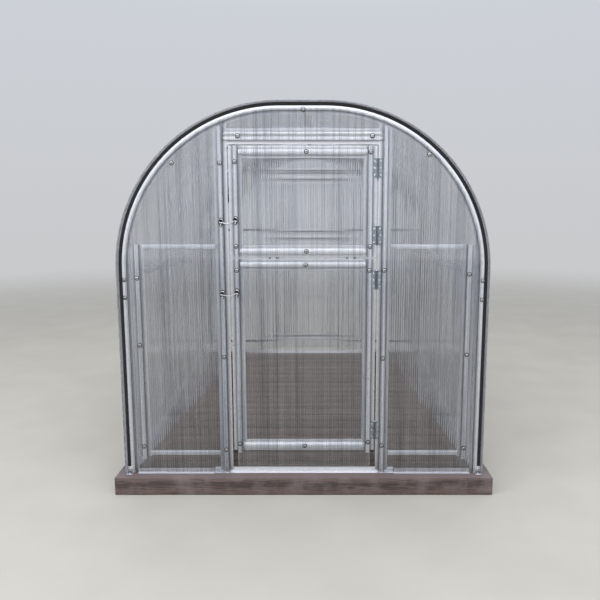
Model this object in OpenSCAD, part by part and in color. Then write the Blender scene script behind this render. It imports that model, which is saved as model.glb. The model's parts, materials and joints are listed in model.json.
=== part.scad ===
// Tunnel greenhouse: a hat-profile steel frame clad with twin-wall polycarbonate,
// on a timber base with a boarded floor. Millimetres, Z up, the front looks along -Y.
// The origin is at the bottom centre of the timber base.

/* [House] */
// Width over the roof sheet
house_w = 2000; // [1800:10:2600]
// Length over the two end frames
house_l = 3000; // [2000:50:8000]
// Height of the straight side wall, from the timber base to the start of the bend
wall_h = 1150; // [1100:10:1500]
// Outside radius of the bend at each shoulder
bend_r = 880; // [840:5:900]
// Number of equal bays between hoops
bays = 3; // [2:1:8]
// How far the roof sheet runs past each end frame
roof_overhang = 30; // [10:1:50]

/* [Timber base] */
// Height of the base beams
base_h = 100; // [80:5:200]
// Width of the base beams
beam_w = 150; // [130:5:200]
// Ledge of the base outside each side wall
side_ledge = 50; // [20:5:120]
// Ledge of the base outside each end wall
end_ledge = 70; // [30:5:150]
// Thickness of the floor boards
board_t = 28; // [20:1:40]
// Width of a joist under the floor
joist_w = 45; // [35:1:80]
// Number of joists under the floor
joists = 3; // [2:1:5]

/* [Steel profiles] */
// Sheet steel thickness of the profiles
steel_t = 1.2; // [0.8:0.1:2]
// Depth of a hat profile from its crown to the back of its flanges
hat_d = 18; // [14:1:26]
// Overall width of a hat profile
hat_w = 70; // [60:1:84]
// Width of the crown of a hat profile
crown_w = 22; // [18:1:30]
// Sideways run of each sloping web
web_run = 2.5; // [2:0.5:6]
// Overall width of a door rail
rail_w = 64; // [58:1:76]
// Width of the crown of a door rail
rail_crown = 32; // [24:1:36]
// Overall width of the double-ribbed transom
transom_w = 80; // [72:1:100]
// Width of the crown of the transom
transom_crown = 44; // [36:1:50]
// Width of the groove between the two ribs of the transom
groove_w = 10; // [6:1:14]
// Depth of the groove between the two ribs of the transom
groove_d = 6; // [3:1:10]
// Width of the flat bars that brace the end frames and run as purlins
bar_w = 25; // [20:1:40]
// Depth of the folded edge of such a bar
bar_d = 14; // [8:1:18]

/* [End hoops] */
// Width of the face of an end hoop, across the arch
hoop_w = 58; // [52:1:70]
// Width of the folded lip that carries the roof sheet at each end
lip_d = 48; // [30:1:70]
// Depth of the rubber gasket between the crown of an end hoop and the roof sheet
gasket_d = 14; // [8:1:16]
// Clearance between the gasket and the hoop's web
gasket_clear = 0.3; // [0.1:0.1:1]

/* [Sheets] */
// Thickness of the twin-wall sheet
sheet_t = 4; // [4:0.5:8]
// How far the end sheets reach onto the crown of the hoop
sheet_lap = 8; // [4:1:16]
// Gap between the end sheets and the base
sheet_gap = 6; // [4:1:12]

/* [Door] */
// Width of the doorway between the flanges of the jambs
doorway_w = 802; // [700:2:1000]
// Height of the underside of the transom above the base
doorway_h = 1813; // [1750:1:1880]
// Height of the joint between the two leaves above the base
leaf_split = 1215; // [1000:5:1400]
// Gap round each leaf
leaf_gap = 8; // [6:1:14]
// Height of the lower edge of the lower leaf's frame above the base
leaf_frame_bottom = 130; // [80:5:200]
// Height of the lower edge of the lower leaf's sheet above the base
leaf_sheet_bottom = 46; // [34:1:70]
// How far the door sill runs past each jamb
sill_past = 36; // [0:1:120]
// Clearance between the jambs and the sill's front web
sill_clear = 0.5; // [0.2:0.1:3]

/* [End frame] */
// Gap between an end post and the inner edge of the hoop
post_gap = 6; // [4:1:20]
// Height of the foot of an end post above the base
post_bottom = 92; // [60:1:150]
// Height of the top of the upper brace above the base
brace_top = 1288; // [1100:2:1400]
// Height of the top of the lower brace above the base
brace_low = 130; // [110:2:260]
// Height of the sole rails on the base
sole_h = 28; // [20:1:50]
// Depth of the foot of a side sole rail on the base
sole_d = 36; // [25:1:60]
// How far the foot of an end sole rail runs forward under the edge of the sheet
sole_lip = 14; // [6:1:30]
// Clearance between the end of a rail and the hoop beside it
rail_clear = 1; // [0.5:0.5:4]
// Height of the plate that holds down the foot of an end hoop
bracket_h = 40; // [20:1:80]
// How far the foot of that plate runs forward on the base
bracket_foot = 28; // [15:1:30]
// Thickness of that plate
bracket_t = 3; // [2:0.5:5]
// Height of the middle of the side purlins above the base
purlin_z = 1100; // [700:10:1150]

/* [Hinges and latches] */
// Length of a butt hinge
hinge_h = 104; // [70:1:130]
// Clearance between the edge of a hinge plate and the web beside it
hinge_clear = 0.5; // [0.3:0.1:2]
// Thickness of the hinge plates
hinge_t = 2; // [1.5:0.5:3]
// Radius of a hinge knuckle
knuckle_r = 5.5; // [5:0.5:7]
// Radius of a hinge pin
pin_r = 2.5; // [2:0.25:3]
// Clearance round the pin in the moving knuckles
pin_clear = 0.06; // [0.03:0.01:0.1]
// Distance of a hinge's middle from the end of its leaf's frame
hinge_inset = 116; // [80:2:200]
// Height of the upper hook above the base
upper_hook_z = 1405; // [1300:5:1600]
// Height of the lower hook above the base
lower_hook_z = 1018; // [700:5:1150]
// Diameter of the hook's wire
wire_d = 4; // [3:0.5:5]
// Inside diameter of the screw eyes
eye_d = 11; // [9:0.5:14]

/* [Hidden] */
$fn = 180;

zinc = "#a9b0b4";
clear = "#cfd8dc";
timber = "#5a4a44";
rubber = "#15161a";

// Shape of the arch: two legs, two quarter bends and a flat top
bend_x = house_w / 2 - bend_r;
roof_in = bend_r - sheet_t;
hoop_outer = roof_in - steel_t;
hoop_inner = hoop_outer - hoop_w;
hoop_flange = (hoop_w - crown_w) / 2 - web_run;
crown_in = hoop_inner + hoop_flange + web_run;
crown_out = crown_in + crown_w;
sheet_edge = crown_in + sheet_lap;
bay_l = house_l / bays;

// Hat profile: a flange is what is left beside the webs and the crown
hat_flange = (hat_w - crown_w) / 2 - web_run;

// Doorway and leaves
jamb_x = doorway_w / 2 + hat_w / 2;
leaf_w = doorway_w - 2 * leaf_gap;
stile_x = leaf_w / 2 - hat_w / 2;
leaf_top = doorway_h - leaf_gap;
upper_bottom = leaf_split + leaf_gap / 2;
lower_top = leaf_split - leaf_gap / 2;
leaf_sheet_x = stile_x + crown_w / 2;
wall_sheet_x = jamb_x - crown_w / 2;
transom_z = doorway_h + transom_w / 2;
sill_w = doorway_w + 2 * (hat_w + sill_past);

// End posts stand just inside the legs of the hoop
post_x = house_w / 2 - bend_r + hoop_inner - post_gap - hat_w / 2;

// Hinges: the plates lie on the flanges, and the pin is over the gap
pin_x = doorway_w / 2 - leaf_gap / 2;
hinge_plate_w = leaf_gap / 2 + hat_flange - hinge_clear;
pin_y = hat_d - steel_t - knuckle_r;
knuckles = 5;
knuckle_h = hinge_h / knuckles;
knuckle_gap = 0.6;
upper_hinges = [leaf_top - hinge_inset, upper_bottom + hinge_inset];
lower_hinges = [lower_top - hinge_inset, leaf_frame_bottom + hinge_inset];

// Hooks: the tip drops into the eye in the direction in which the leaf closes
hook_y = -sheet_t - 16;
eye_y = hook_y + wire_d + 2;
hook_sag = 5;
hook_rise = 8;
tip_l = 11;

base_w = house_w + 2 * side_ledge;
base_l = house_l + 2 * end_ledge;

// Cross-section of a hat profile: across its width, and back from its crown
function hat(w, crown) = let (
    d = hat_d, t = steel_t,
    slope = web_run / (d - t),
    skew = t * sqrt(1 + slope * slope),
    in_top = crown / 2 - skew + slope * t,
    in_low = crown / 2 - skew + slope * d)
    [[-w / 2, d - t], [-crown / 2 - web_run, d - t], [-crown / 2, 0],
     [crown / 2, 0], [crown / 2 + web_run, d - t], [w / 2, d - t],
     [w / 2, d], [in_low, d], [in_top, t],
     [-in_top, t], [-in_low, d], [-w / 2, d]];

// The same with a groove down the middle of its crown
function ribbed_hat(w, crown) = let (
    d = hat_d, t = steel_t, g = groove_w / 2, k = groove_d,
    slope = web_run / (d - t),
    skew = t * sqrt(1 + slope * slope),
    in_top = crown / 2 - skew + slope * t,
    in_low = crown / 2 - skew + slope * d)
    [[-w / 2, d - t], [-crown / 2 - web_run, d - t], [-crown / 2, 0],
     [-g, 0], [0, k], [g, 0],
     [crown / 2, 0], [crown / 2 + web_run, d - t], [w / 2, d - t],
     [w / 2, d], [in_low, d], [in_top, t],
     [g + t, t], [0, k + 1.6 * t], [-g - t, t],
     [-in_top, t], [-in_low, d], [-w / 2, d]];

// The crown and webs alone, which run on over the flange of the stile
function cap(crown) = let (
    d = hat_d - steel_t - 0.3, t = steel_t,
    slope = web_run / (hat_d - t),
    skew = t * sqrt(1 + slope * slope),
    out_low = crown / 2 + slope * d)
    [[-out_low, d], [-crown / 2, 0], [crown / 2, 0], [out_low, d],
     [out_low - skew, d], [crown / 2 - skew + slope * t, t],
     [-crown / 2 + skew - slope * t, t], [-out_low + skew, d]];

function swap(points) = [for (p = points) [p[1], p[0]]];

// Moves an end wall drawn at Y = 0 to the front of the house, or turns it to the rear
module at_front() {
    translate([0, -house_l / 2, base_h]) children();
}

module at_rear() {
    rotate([0, 0, 180]) at_front() children();
}

module both_sides() {
    children();
    mirror([1, 0, 0]) children();
}

// Sweeps a section of [radius, y] points along one side's leg and bend, and half the top
module arch_half(section) {
    translate([bend_x, 0, 0]) linear_extrude(wall_h) polygon(section);
    translate([bend_x, 0, wall_h]) rotate([90, 0, 0]) rotate_extrude(angle = 90)
        polygon([for (p = section) [p[0], -p[1]]]);
    translate([0, 0, wall_h]) rotate([90, 0, 90]) linear_extrude(bend_x)
        polygon(swap(section));
}

module arch(section) {
    union() both_sides() arch_half(section);
}

// A plate of the arch's shape, whose curved edge has the given bend radius
module arch_plate(radius, thickness) {
    translate([-bend_x, 0, 0]) cube([2 * bend_x, thickness, wall_h + radius]);
    both_sides() {
        translate([bend_x, 0, 0]) cube([radius, thickness, wall_h]);
        translate([bend_x, thickness, wall_h]) rotate([90, 0, 0])
            rotate_extrude(angle = 90) square([radius, thickness]);
    }
}

// Upright and level lengths of a profile, with the crown at Y = 0
module upright(section, x, z0, z1) {
    translate([x, 0, z0]) linear_extrude(z1 - z0) polygon(section);
}

module level(section, z, x0, x1) {
    translate([x0, 0, z]) rotate([90, 0, 90]) linear_extrude(x1 - x0) polygon(swap(section));
}

// ---- Timber base ----

module base_end_beams() {
    color(timber) for (side = [-1, 1])
        translate([-base_w / 2, side * (base_l - beam_w) / 2 - beam_w / 2, 0])
            cube([base_w, beam_w, base_h]);
}

module base_side_beams() {
    color(timber) for (side = [-1, 1])
        translate([side * (base_w - beam_w) / 2 - beam_w / 2, -base_l / 2 + beam_w, 0])
            cube([beam_w, base_l - 2 * beam_w, base_h]);
}

module deck() {
    color(timber) translate([-base_w / 2 + beam_w, -base_l / 2 + beam_w, base_h - board_t])
        cube([base_w - 2 * beam_w, base_l - 2 * beam_w, board_t]);
}

module deck_joists() {
    pitch = (base_w - 2 * beam_w) / (joists + 1);
    color(timber) for (i = [1:joists])
        translate([-base_w / 2 + beam_w + i * pitch - joist_w / 2, -base_l / 2 + beam_w, 0])
            cube([joist_w, base_l - 2 * beam_w, base_h - board_t]);
}

// ---- Frame ----

// Angles along the foot of each side wall, one in each bay between the hoops' legs
module side_sole_rails() {
    section = [[0, 0], [0, sole_h], [-steel_t, sole_h],
               [-steel_t, steel_t], [-sole_d, steel_t], [-sole_d, 0]];
    end_y = house_l / 2 - lip_d - rail_clear;
    hoop_half = hat_w / 2 + rail_clear;
    color(zinc) both_sides() for (i = [0:bays - 1]) {
        y0 = max(-end_y, -house_l / 2 + i * bay_l + hoop_half);
        y1 = min(end_y, -house_l / 2 + (i + 1) * bay_l - hoop_half);
        translate([bend_x + roof_in, y1, base_h]) rotate([90, 0, 0])
            linear_extrude(y1 - y0) polygon(section);
    }
}

// An end hoop: a hat profile bent on edge, with a lip folded back under the roof sheet
function end_hoop_section() = let (
    d = hat_d, t = steel_t,
    mid = (crown_in + crown_out) / 2,
    slope = web_run / (d - t),
    skew = t * sqrt(1 + slope * slope),
    in_top = crown_w / 2 - skew + slope * t,
    in_low = crown_w / 2 - skew + slope * d)
    [[hoop_inner, d - t], [crown_in - web_run, d - t], [crown_in, 0],
     [crown_out, 0], [crown_out + web_run, d - t], [hoop_outer, d - t],
     [roof_in, d - t], [roof_in, lip_d], [hoop_outer, lip_d], [hoop_outer, d],
     [mid + in_low, d], [mid + in_top, t], [mid - in_top, t], [mid - in_low, d],
     [hoop_inner, d]];

module front_hoop() {
    color(zinc) at_front() arch(end_hoop_section());
}

module rear_hoop() {
    color(zinc) at_rear() arch(end_hoop_section());
}

// Hoops between the bays, with their crowns under the roof sheet
module middle_hoops() {
    section = [for (p = hat(hat_w, crown_w)) [roof_in - p[1], p[0]]];
    color(zinc) for (i = [1:bays - 1])
        translate([0, -house_l / 2 + i * bay_l, base_h]) arch(section);
}

module purlin() {
    rotate([90, 0, 0]) linear_extrude(house_l - 2 * (hat_d + rail_clear), center = true)
        polygon([[0, -bar_w / 2], [0, bar_w / 2], [-bar_d, bar_w / 2],
                 [-bar_d, bar_w / 2 - steel_t], [-steel_t, bar_w / 2 - steel_t],
                 [-steel_t, -bar_w / 2]]);
}

module ridge_purlin() {
    color(zinc) translate([0, 0, base_h + wall_h + roof_in - hat_d])
        rotate([0, -90, 0]) purlin();
}

module side_purlins() {
    color(zinc) both_sides()
        translate([bend_x + roof_in - hat_d, 0, base_h + purlin_z]) purlin();
}

// ---- Roof ----

module roof_sheet() {
    y = house_l / 2 + roof_overhang;
    color(clear, 0.4) translate([0, 0, base_h])
        arch([[roof_in, -y], [bend_r, -y], [bend_r, y], [roof_in, y]]);
}

// Rubber strip in the channel between the hoop's crown and the roof sheet
function gasket_section() = let (
    floor_y = hat_d - steel_t,
    face_y = floor_y - gasket_d,
    foot = crown_out + web_run + gasket_clear,
    top = crown_out + web_run * face_y / floor_y + gasket_clear)
    [[top, face_y], [roof_in, face_y], [roof_in, floor_y], [foot, floor_y]];

// The strip is notched where the plate that holds down the hoop's foot bears on the crown
module edge_gasket() {
    difference() {
        arch(gasket_section());
        both_sides() translate([bend_x + crown_out, -gasket_d, -1])
            cube([roof_in - crown_out, gasket_d, bracket_h + gasket_clear + 1]);
    }
}

module edge_gaskets() {
    color(rubber) {
        at_front() edge_gasket();
        at_rear() edge_gasket();
    }
}

// ---- End walls, drawn with the crowns of the frame at Y = 0 ----

module jambs() {
    intersection() {
        both_sides() upright(hat(hat_w, crown_w), jamb_x, steel_t, wall_h + bend_r);
        arch_plate(hoop_inner, hat_d);
    }
}

// The transom runs over the flanges of the jambs and ends at the hoop where it meets it
module transom() {
    x = doorway_w / 2 + hat_flange;
    difference() {
        intersection() {
            level(ribbed_hat(transom_w, transom_crown), transom_z, -x, x);
            arch_plate(hoop_inner, hat_d);
        }
        both_sides() translate([doorway_w / 2, hat_d - steel_t - 0.3, transom_z - transom_w])
            cube([hat_w, hat_d, 2 * transom_w]);
        both_sides() translate([doorway_w / 2 + hat_flange - 0.5, -1, transom_z - transom_w])
            cube([hat_w, hat_d + 2, 2 * transom_w]);
    }
}

module posts() {
    intersection() {
        both_sides() upright(hat(hat_w, crown_w), post_x, post_bottom, brace_top);
        arch_plate(hoop_inner, hat_d);
    }
}

// Channels between the jambs and the posts, with their open side inwards
module braces() {
    x0 = jamb_x + hat_w / 2;
    x1 = post_x - hat_w / 2;
    section = [[0, 0], [bar_w, 0], [bar_w, bar_d], [bar_w - steel_t, bar_d],
               [bar_w - steel_t, steel_t], [steel_t, steel_t], [steel_t, bar_d], [0, bar_d]];
    both_sides() for (z = [brace_top, brace_low])
        level(section, z - bar_w, x0, x1);
}

module wall_sheet(x0, x1, z0, z1) {
    intersection() {
        translate([0, -sheet_t, 0]) arch_plate(sheet_edge, sheet_t);
        translate([x0, -sheet_t - 1, z0]) cube([x1 - x0, sheet_t + 2, z1 - z0]);
    }
}

module sheet_left() {
    wall_sheet(-house_w, -wall_sheet_x, sheet_gap, 2 * wall_h + bend_r);
}

module sheet_right() {
    wall_sheet(wall_sheet_x, house_w, sheet_gap, 2 * wall_h + bend_r);
}

module sheet_top() {
    wall_sheet(-wall_sheet_x + 1, wall_sheet_x - 1, transom_z - transom_crown / 2,
        2 * wall_h + bend_r);
}

// Angle along the foot of the end wall: upright behind the sheet, foot turned forward
module sole_rail() {
    x0 = sill_w / 2 + rail_clear;
    x1 = bend_x + hoop_inner - rail_clear;
    section = [[0, -sole_lip], [steel_t, -sole_lip], [steel_t, 0], [sole_h, 0],
               [sole_h, steel_t], [0, steel_t]];
    both_sides() level(section, 0, x0, x1);
}

// The sill lies on the base with its crown up and its front web just behind the jambs,
// which stand on its front flange
module sill() {
    y = hat_d + sill_clear + web_run + crown_w / 2;
    translate([-sill_w / 2, y, hat_d]) rotate([90, 0, 90])
        linear_extrude(sill_w) polygon([for (p = hat(hat_w, crown_w)) [p[0], -p[1]]]);
}

module front_jambs() {
    color(zinc) at_front() jambs();
}

module rear_jambs() {
    color(zinc) at_rear() jambs();
}

module front_transom() {
    color(zinc) at_front() transom();
}

module rear_transom() {
    color(zinc) at_rear() transom();
}

module front_posts() {
    color(zinc) at_front() posts();
}

module rear_posts() {
    color(zinc) at_rear() posts();
}

module front_braces() {
    color(zinc) at_front() braces();
}

module rear_braces() {
    color(zinc) at_rear() braces();
}

module front_sheet_left() {
    color(clear, 0.4) at_front() sheet_left();
}

module front_sheet_right() {
    color(clear, 0.4) at_front() sheet_right();
}

module front_sheet_top() {
    color(clear, 0.4) at_front() sheet_top();
}

module rear_wall_sheets() {
    color(clear, 0.4) at_rear() {
        sheet_left();
        sheet_right();
        sheet_top();
    }
}

module end_sole_rails() {
    color(zinc) {
        at_front() sole_rail();
        at_rear() sole_rail();
    }
}

module door_sills() {
    color(zinc) {
        at_front() sill();
        at_rear() sill();
    }
}

// Angle that holds down the foot of an end hoop: it bears on the crown, beside the sheet
module corner_bracket() {
    x0 = bend_x + sheet_edge + rail_clear;
    x1 = bend_x + roof_in - rail_clear;
    section = [[0, -bracket_foot], [bracket_t, -bracket_foot], [bracket_t, -bracket_t],
               [bracket_h, -bracket_t], [bracket_h, 0], [0, 0]];
    level(section, 0, x0, x1);
}

module corner_brackets() {
    color(zinc) {
        at_front() both_sides() corner_bracket();
        at_rear() both_sides() corner_bracket();
    }
}

// ---- Hinges and latches ----

// One half of a butt hinge: side 1 is fixed, side -1 turns with the leaf
module hinge_half(z, side, bore_r) {
    $fn = 48;
    first = side > 0 ? 0 : 1;
    slack = side > 0 ? 0 : knuckle_gap / 2;
    translate([pin_x, pin_y, z - hinge_h / 2]) difference() {
        union() {
            translate([side > 0 ? knuckle_r + 1 : -hinge_plate_w, knuckle_r - hinge_t, 0])
                cube([hinge_plate_w - knuckle_r - 1, hinge_t, hinge_h]);
            for (i = [first:2:knuckles - 1]) translate([0, 0, i * knuckle_h + knuckle_gap / 2]) {
                cylinder(r = knuckle_r, h = knuckle_h - knuckle_gap);
                translate([side > 0 ? 0 : -knuckle_r - 2, knuckle_r - hinge_t, 0])
                    cube([knuckle_r + 2, hinge_t, knuckle_h - knuckle_gap]);
            }
        }
        translate([0, 0, -1]) cylinder(r = bore_r, h = hinge_h + 2);
    }
}

module hinge_pin(z) {
    $fn = 48;
    translate([pin_x, pin_y, z - hinge_h / 2 - 1]) cylinder(r = pin_r, h = hinge_h + 2);
}

module hinge_plates() {
    color(zinc) at_front() for (z = concat(upper_hinges, lower_hinges))
        hinge_half(z, 1, pin_r);
}

module hinge_pins() {
    color(zinc) at_front() for (z = concat(upper_hinges, lower_hinges))
        hinge_pin(z);
}

module upper_hinge_leaves() {
    color(zinc) at_front() for (z = upper_hinges) hinge_half(z, -1, pin_r + pin_clear);
}

module lower_hinge_leaves() {
    color(zinc) at_front() for (z = lower_hinges) hinge_half(z, -1, pin_r + pin_clear);
}

// Outline of a bar of the given width that follows a line of [x, z] points
function along(points, i) = let (
    last = len(points) - 1,
    a = points[max(i - 1, 0)], b = points[min(i + 1, last)])
    (b - a) / norm(b - a);

function bar_edge(points, w) =
    [for (i = [0:len(points) - 1]) let (d = along(points, i)) points[i] + [-d[1], d[0]] * w];

function bar_outline(points, w) = concat(
    bar_edge(points, w / 2),
    let (far = bar_edge(points, -w / 2)) [for (i = [len(far) - 1:-1:0]) far[i]]);

// Screw eye on the jamb: a ring that faces the front, on a shank from the crown
module eye(z) {
    $fn = 32;
    shank_x = -jamb_x - (eye_d + wire_d) / 2;
    translate([-jamb_x, eye_y, z]) rotate([90, 0, 0])
        rotate_extrude() translate([(eye_d + wire_d) / 2, 0]) circle(d = wire_d);
    translate([shank_x, -sheet_t, z]) rotate([90, 0, 0]) {
        cylinder(d = 0.8 * wire_d, h = -eye_y - sheet_t);
        cylinder(d = 2.2 * wire_d, h = 1.5);
    }
}

// Hook on the stile, whose bar sags a little and whose tip points into the eye
module hook(z) {
    $fn = 32;
    root = [-stile_x, z + hook_rise];
    dip = [-(stile_x + jamb_x) / 2, z - hook_sag];
    tip = [-jamb_x, z];
    translate([0, hook_y, 0]) rotate([90, 0, 0]) linear_extrude(wire_d, center = true)
        polygon(bar_outline([root + [3, 1], root, dip, tip, tip - [3, -1]], wire_d));
    translate([tip[0], hook_y, tip[1]]) rotate([-90, 0, 0])
        cylinder(d = 0.8 * wire_d, h = tip_l);
    translate([root[0], -sheet_t, root[1]]) rotate([90, 0, 0]) {
        cylinder(d = 0.8 * wire_d, h = -hook_y - sheet_t);
        cylinder(d = 2.2 * wire_d, h = 1.5);
    }
}

module latch_eyes() {
    color(zinc) at_front() {
        eye(upper_hook_z);
        eye(lower_hook_z);
    }
}

module upper_hook() {
    color(zinc) at_front() hook(upper_hook_z);
}

module lower_hook() {
    color(zinc) at_front() hook(lower_hook_z);
}

// ---- Door leaves ----

module stiles(z0, z1) {
    both_sides() upright(hat(hat_w, crown_w), stile_x, z0, z1);
}

// A rail between the stiles, whose crown runs on over their flanges
module rail(z) {
    x0 = stile_x - hat_w / 2;
    x1 = stile_x - crown_w / 2 - web_run;
    level(hat(rail_w, rail_crown), z, -x0, x0);
    both_sides() level(cap(rail_crown), z, x0 - 0.01, x1);
}

module leaf_rails(z0, z1) {
    rail(z0 + rail_w / 2);
    rail(z1 - rail_w / 2);
}

module leaf_sheet(z0, z1) {
    translate([-leaf_sheet_x, -sheet_t, z0]) cube([2 * leaf_sheet_x, sheet_t, z1 - z0]);
}

module upper_stiles() {
    color(zinc) at_front() stiles(upper_bottom, leaf_top);
}

module upper_rails() {
    color(zinc) at_front() leaf_rails(upper_bottom, leaf_top);
}

module upper_sheet() {
    color(clear, 0.4) at_front() leaf_sheet(upper_bottom, leaf_top);
}

module lower_stiles() {
    color(zinc) at_front() stiles(leaf_frame_bottom, lower_top);
}

module lower_rails() {
    color(zinc) at_front() leaf_rails(leaf_frame_bottom, lower_top);
}

module lower_sheet() {
    color(clear, 0.4) at_front() leaf_sheet(leaf_sheet_bottom, lower_top);
}

module rear_leaf_stiles() {
    color(zinc) at_rear() {
        stiles(upper_bottom, leaf_top);
        stiles(leaf_frame_bottom, lower_top);
    }
}

module rear_leaf_rails() {
    color(zinc) at_rear() {
        leaf_rails(upper_bottom, leaf_top);
        leaf_rails(leaf_frame_bottom, lower_top);
    }
}

module rear_leaf_sheets() {
    color(clear, 0.4) at_rear() {
        leaf_sheet(upper_bottom, leaf_top);
        leaf_sheet(leaf_sheet_bottom, lower_top);
    }
}

module rear_hinges() {
    color(zinc) at_rear() for (z = concat(upper_hinges, lower_hinges)) {
        hinge_half(z, 1, pin_r);
        hinge_half(z, -1, pin_r);
        hinge_pin(z);
    }
}

module rear_hooks() {
    color(zinc) at_rear() for (z = [upper_hook_z, lower_hook_z]) {
        hook(z);
        eye(z);
    }
}

base_end_beams();
base_side_beams();
deck();
deck_joists();
side_sole_rails();
front_hoop();
rear_hoop();
middle_hoops();
ridge_purlin();
side_purlins();
roof_sheet();
edge_gaskets();
front_jambs();
front_transom();
front_posts();
front_braces();
front_sheet_left();
front_sheet_right();
front_sheet_top();
rear_jambs();
rear_transom();
rear_posts();
rear_braces();
rear_wall_sheets();
end_sole_rails();
door_sills();
corner_brackets();
hinge_plates();
hinge_pins();
latch_eyes();
upper_stiles();
upper_rails();
upper_sheet();
upper_hinge_leaves();
upper_hook();
lower_stiles();
lower_rails();
lower_sheet();
lower_hinge_leaves();
lower_hook();
rear_leaf_stiles();
rear_leaf_rails();
rear_leaf_sheets();
rear_hinges();
rear_hooks();
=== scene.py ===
# %% [markdown]
# # A polycarbonate greenhouse
# A tunnel greenhouse is a frame of pressed steel profiles under one bent sheet of hollow
# plastic, with flat sheets over both ends and a door in two halves. It stands on a timber base.
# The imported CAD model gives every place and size. Here each profile gets the soft bends of
# rolled steel, each sheet gets its inner ribs, and the base gets separate boards.

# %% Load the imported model
import bmesh
import bpy
import functools
import json
import math
import random
from mathutils import Matrix, Vector


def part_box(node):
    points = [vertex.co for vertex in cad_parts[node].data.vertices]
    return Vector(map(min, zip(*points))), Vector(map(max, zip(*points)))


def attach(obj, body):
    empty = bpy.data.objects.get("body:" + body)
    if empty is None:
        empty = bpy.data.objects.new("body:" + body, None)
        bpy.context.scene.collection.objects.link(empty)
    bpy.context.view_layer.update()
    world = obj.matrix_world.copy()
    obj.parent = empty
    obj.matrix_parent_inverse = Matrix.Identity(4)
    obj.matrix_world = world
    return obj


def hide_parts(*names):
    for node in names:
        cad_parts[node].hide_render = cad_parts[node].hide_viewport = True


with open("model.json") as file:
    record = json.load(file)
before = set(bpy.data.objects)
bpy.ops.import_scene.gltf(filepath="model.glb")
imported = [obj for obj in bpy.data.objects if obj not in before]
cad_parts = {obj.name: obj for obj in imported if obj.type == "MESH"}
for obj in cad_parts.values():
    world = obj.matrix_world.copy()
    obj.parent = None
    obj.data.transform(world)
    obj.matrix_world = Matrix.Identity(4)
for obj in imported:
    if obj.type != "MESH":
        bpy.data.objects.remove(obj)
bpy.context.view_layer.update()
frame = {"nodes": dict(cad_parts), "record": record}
random.seed(11)

# %% [markdown]
# ## Sizes
# All sizes are in metres. Places come from the boxes of the CAD nodes, so a change of the
# model moves the pieces too. The bends of a profile do not show in a box, so those few sizes
# are repeated here as the profile is made.

# %% Sizes of the house and of its profiles
MM = 0.001
STEEL = 1.2 * MM
HAT_W = 70 * MM
CROWN = 22 * MM
WEB_RUN = 2.5 * MM
SHEET = 4 * MM
BEND_R = 880 * MM
HOOP_W = 58 * MM
LIP_D = 48 * MM
SHEET_LAP = 8 * MM
# A small gap keeps two faces that touch from flickering into each other
SKIN_GAP = 0.3 * MM

BASE_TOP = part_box("base_end_beams")[1][2]
FRONT_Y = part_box("front_jambs")[0][1]
HAT_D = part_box("front_jambs")[1][1] - FRONT_Y
ROOF_HALF, ROOF_END, ROOF_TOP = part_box("roof_sheet")[1]
BEND_X = ROOF_HALF - BEND_R
WALL_H = ROOF_TOP - BASE_TOP - BEND_R
ROOF_IN = BEND_R - SHEET
HOOP_OUT = ROOF_IN - STEEL
HOOP_IN = HOOP_OUT - HOOP_W
CROWN_IN = HOOP_IN + (HOOP_W - CROWN) / 2
CROWN_OUT = CROWN_IN + CROWN
print("straight wall", round(WALL_H, 3), "bend centre", round(BEND_X, 3))

# %% [markdown]
# ## Small tools for meshes
# A shape here is a list of points and a list of faces. Rolled steel is one outline carried
# along a line, so nearly every piece is a loft: rings of points joined by faces. The corners
# of an outline are rounded first, because a bright line along each bend is what makes thin
# steel look like steel.

# %% Tools that make shapes
STRAIGHT = math.radians(172)
NEARLY_HALF = 0.48


def rounded(points, radius, steps=3, soft=None):
    """The same outline with its corners turned into small curves. The corners in soft, a
    dictionary of corner number and radius, are bent more gently than the others."""
    out = []
    for i, corner in enumerate(points):
        bend = (soft or {}).get(i, radius)
        here = Vector(corner)
        before = Vector(points[i - 1]) - here
        after = Vector(points[(i + 1) % len(points)]) - here
        turn = before.angle(after)
        if turn > STRAIGHT:
            out.append(tuple(here))
            continue
        room = NEARLY_HALF * min(before.length, after.length)
        reach = min(bend / math.tan(turn / 2), room)
        start = here + before.normalized() * reach
        end = here + after.normalized() * reach
        for t in [step / steps for step in range(steps + 1)]:
            out.append(tuple((1 - t) ** 2 * start + 2 * t * (1 - t) * here + t * t * end))
    return out


# %% Rings of points joined into one shape
def rectangle(a0, a1, b0, b1):
    return [(a0, b0), (a1, b0), (a1, b1), (a0, b1)]


def loft(rings):
    """Joins rings of points with faces, and closes the two ends."""
    size, count = len(rings[0]), len(rings)
    points = [tuple(p) for ring in rings for p in ring]
    faces = []
    for a in range(0, (count - 1) * size, size):
        for j in range(size):
            k = (j + 1) % size
            faces.append((a + j, a + k, a + size + k, a + size + j))
    faces.append(tuple(range(size - 1, -1, -1)))
    faces.append(tuple(range((count - 1) * size, count * size)))
    return points, faces


print("a rectangle with soft corners has", len(rounded(rectangle(0, 2, 0, 1), 0.1)), "points")


# %% Tools that move shapes
ACROSS = Matrix.Scale(-1, 4, (1, 0, 0))


def moved(shapes, matrix):
    return [([tuple(matrix @ Vector(p)) for p in points], faces) for points, faces in shapes]


def mirrored(shapes):
    """The shapes and their mirror images in the middle plane of the house."""
    return shapes + moved(shapes, ACROSS)


# %% Make shapes into pieces
SHARP = math.radians(35)
FRAME_SLOT, FITTING_SLOT = "galvanised_frame", "zinc_fittings"


def new_object(name, data):
    made = bpy.data.objects.new(name, data)
    bpy.context.scene.collection.objects.link(made)
    return made


def new_mesh(name, points, faces, finish):
    mesh = bpy.data.meshes.new(name)
    mesh.from_pydata(points, [], faces)
    mesh.materials.append(finish)
    return new_object(name, mesh)


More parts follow.
